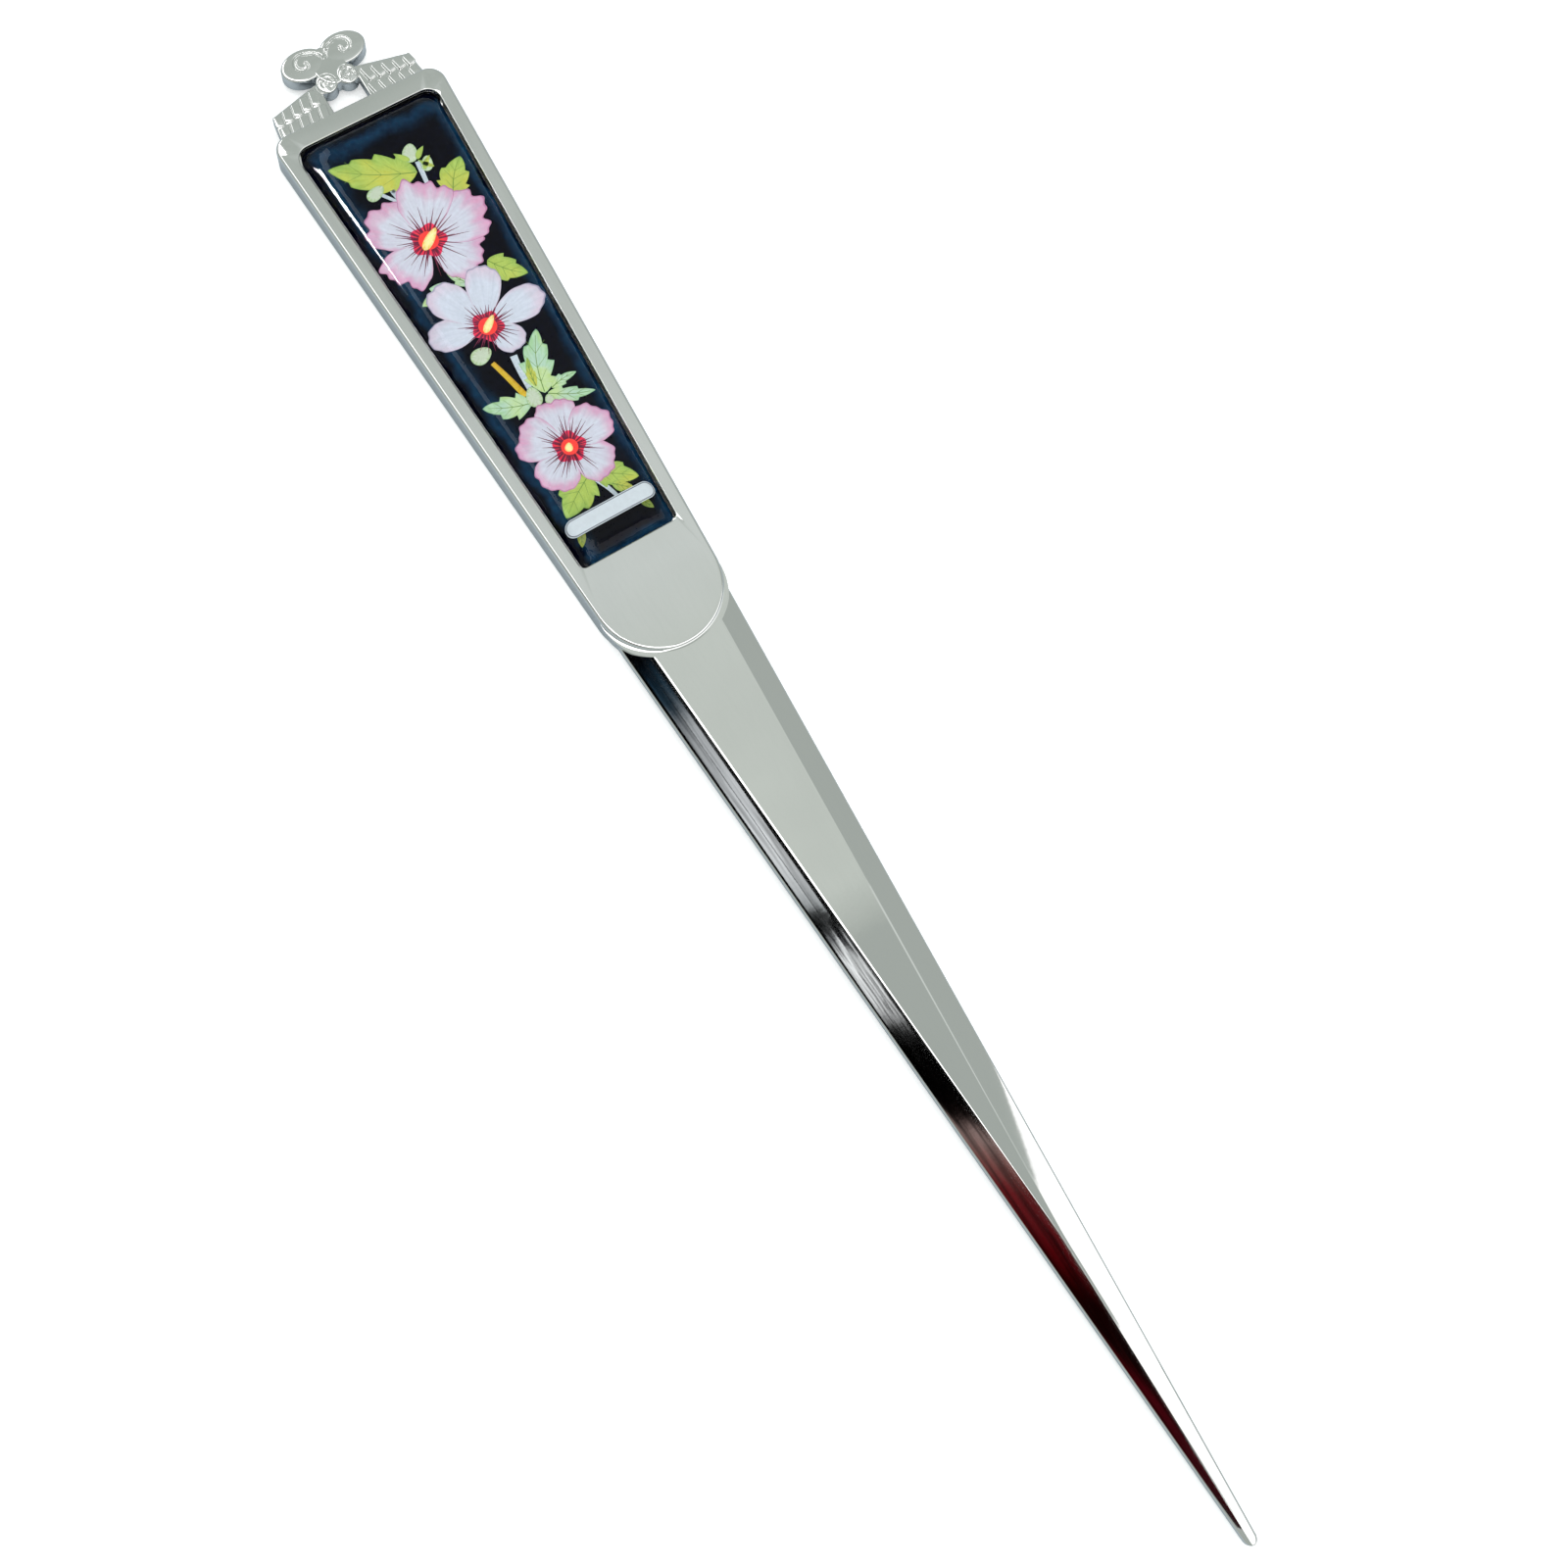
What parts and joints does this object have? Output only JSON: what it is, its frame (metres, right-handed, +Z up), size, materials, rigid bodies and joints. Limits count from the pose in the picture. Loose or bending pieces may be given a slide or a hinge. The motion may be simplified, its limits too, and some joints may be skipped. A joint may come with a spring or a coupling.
{
  "type": "letter opener",
  "caption": "Cast metal letter opener with a long bevelled blade, a tapered handle holding a domed floral panel, and a pierced scroll crest.",
  "frame": {"origin": "on the handle's flat back face, under the middle of the picture recess", "axes": "+X along the opener towards the blade's tip, +Y across the handle, +Z up out of the picture panel; the opener lies on its back"},
  "size_m": [0.2202, 0.0244, 0.0052],
  "materials": {
    "plated_zinc": "bright nickel-chrome plate over a zinc-alloy casting, polished, with a faint ripple",
    "adhesive": "thin double-sided film",
    "backing": "black sheet",
    "printed_sheet": "dark navy sheet with a printed hibiscus branch and a faint blue-green pearl sheen at its edges",
    "clear_resin": "clear glossy poured dome",
    "label_stock": "satin coated sticker, blank apart from a plain line border"
  },
  "bodies": {
    "root": {"body_casting": "plated_zinc", "adhesive_sheet": "adhesive", "backing_plate": "backing", "printed_nacre_sheet": "printed_sheet", "resin_dome": "clear_resin", "origin_label": "label_stock"}
  },
  "joints": []
}
